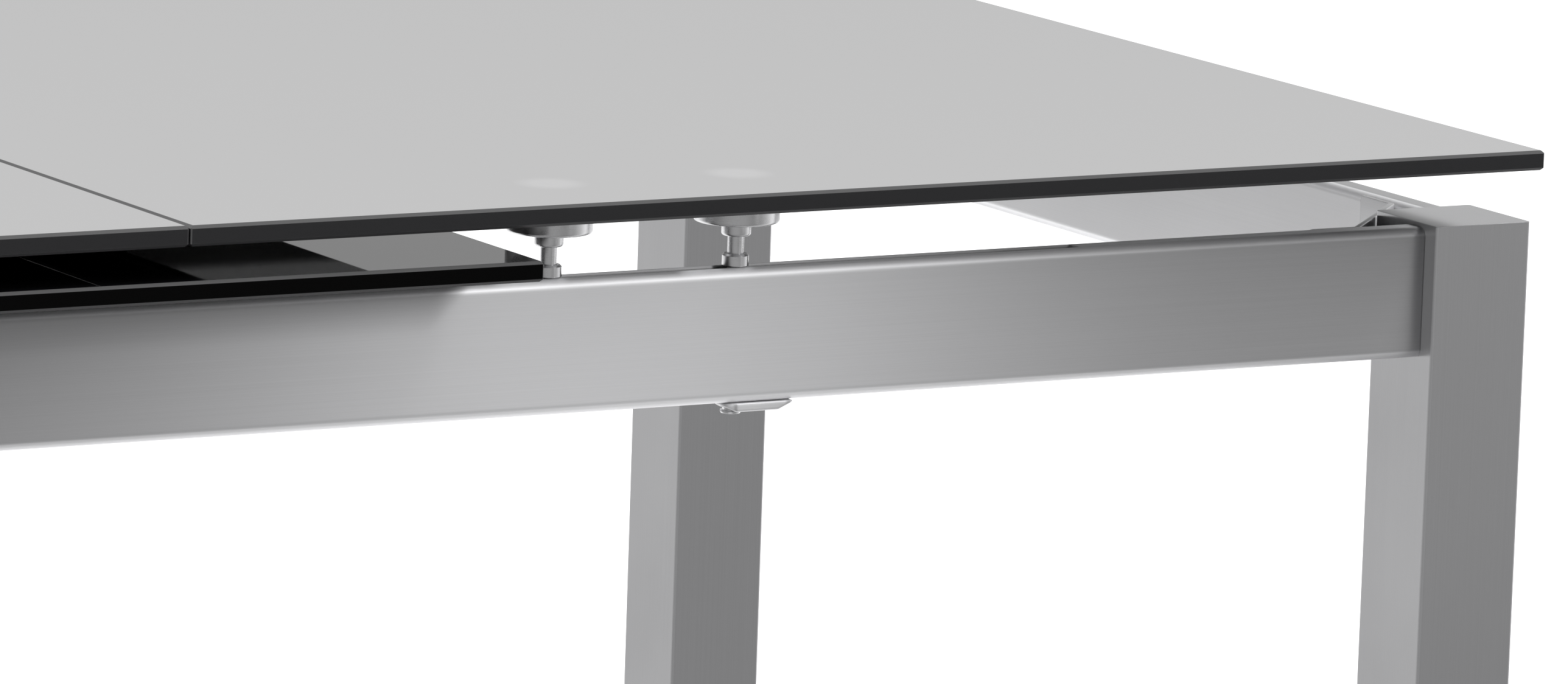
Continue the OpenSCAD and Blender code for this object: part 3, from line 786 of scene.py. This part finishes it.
def make_world():
    """A pale room: a bright sheet behind the table, greyer to the sides and behind the camera.

    The camera itself sees plain white.
    """
    world = bpy.data.worlds.new("studio")
    bpy.context.scene.world = world
    world.use_nodes = True
    nodes = Nodes(world.node_tree)
    link = world.node_tree.links.new
    ray = nodes.add("ShaderNodeTexCoord").outputs["Generated"]
    away = nodes.vector("DOT_PRODUCT", ray, AWAY)
    up = nodes.add("ShaderNodeSeparateXYZ", {0: ray}).outputs["Z"]
    ramp = nodes.add("ShaderNodeValToRGB", {"Fac": nodes.spread(away, -1.0, 1.0, 0.0, 1.0)})
    ramp.color_ramp.interpolation = "EASE"
    elements = ramp.color_ramp.elements
    while len(elements) < len(ROOM_LEVELS):
        elements.new(0.5)
    for element, (place, level) in zip(elements, ROOM_LEVELS):
        element.position = place
        element.color = (level, level, level, 1.0)
    room = nodes.add("ShaderNodeMix", data_type="FLOAT")
    link(nodes.spread(up, 0.35, 0.75, 0.0, 1.0), room.inputs["Factor"])
    link(ramp.outputs["Color"], room.inputs["A"])
    room.inputs["B"].default_value = CEILING_LEVEL
    rise = nodes.math("ABSOLUTE", up)
    sheet_across = nodes.spread(away, 0.86, 0.93, 0.0, 1.0)
    sheet = nodes.math("MULTIPLY", sheet_across, nodes.spread(rise, 0.34, 0.26, 0.0, 1.0))
    with_sheet = nodes.add("ShaderNodeMix", data_type="FLOAT")
    link(sheet, with_sheet.inputs["Factor"])
    link(room.outputs["Result"], with_sheet.inputs["A"])
    link(nodes.spread(rise, 0.13, 0.21, SHEET_LOW, SHEET_HIGH), with_sheet.inputs["B"])
    seen = nodes.add("ShaderNodeLightPath").outputs["Is Camera Ray"]
    final = nodes.add("ShaderNodeMix", data_type="FLOAT")
    link(seen, final.inputs["Factor"])
    link(with_sheet.outputs["Result"], final.inputs["A"])
    final.inputs["B"].default_value = 1.0
    background = nodes.add("ShaderNodeBackground", {"Strength": final.outputs["Result"]})
    background.inputs["Color"].default_value = (1.0, 1.0, 1.0, 1.0)
    output = nodes.add("ShaderNodeOutputWorld")
    link(background.outputs[0], output.inputs["Surface"])


def make_floor():
    """White paper that reflections don't show."""
    half = 30.0
    mesh = bpy.data.meshes.new("floor")
    corners = [(-half, -half, 0), (half, -half, 0), (half, half, 0), (-half, half, 0)]
    mesh.from_pydata(corners, [], [(0, 1, 2, 3)])
    floor = bpy.data.objects.new("floor", mesh)
    paper, nodes, shader = material("floor_paper")
    shade = nodes.spread(cloud(nodes, 3.0), 0.3, 0.7, 0.85, 0.87)
    paper.node_tree.links.new(shade, shader.inputs["Base Color"])
    shader.inputs["Roughness"].default_value = 0.9
    mesh.materials.append(paper)
    bpy.context.scene.collection.objects.link(floor)
    floor.visible_glossy = False


def area_light(name, place, aim, width, height, radiance):
    """A rectangular light whose radiance doesn't depend on its size."""
    data = bpy.data.lights.new(name, "AREA")
    data.shape = "RECTANGLE"
    data.size = width
    data.size_y = height
    data.energy = radiance * math.pi * width * height
    light = bpy.data.objects.new(name, data)
    facing = (Vector(aim) - Vector(place)).to_track_quat("-Z", "Y")
    light.matrix_world = Matrix.Translation(place) @ facing.to_matrix().to_4x4()
    bpy.context.scene.collection.objects.link(light)
    return light


KEY_AIM = (0.22, -0.4, 0.7)


def make_lights():
    """Two key panels to the front right, and a soft fill without highlights."""
    keys = [
        area_light("key_low", (1.65, -2.90, 0.60), KEY_AIM, 0.42, 1.2, 0.55),
        area_light("key_high", (1.72, -2.90, 1.85), KEY_AIM, 0.48, 0.8, 5.3),
    ]
    # The glass would mirror the two keys as hard white panels, so they light only the rest.
    unlit = bpy.data.collections.new("out_of_the_keys")
    for name in GLASS:
        unlit.objects.link(frame["nodes"][name])
    for item in unlit.collection_objects:
        item.light_linking.link_state = "EXCLUDE"
    for key in keys:
        key.light_linking.receiver_collection = unlit
    data = bpy.data.lights.new("fill", "SUN")
    data.energy = 1.6
    data.angle = math.radians(60)
    data.specular_factor = 0.0
    fill = bpy.data.objects.new("fill", data)
    bpy.context.scene.collection.objects.link(fill)


make_world()
make_floor()
make_lights()
bpy.context.scene.view_settings.view_transform = "Standard"
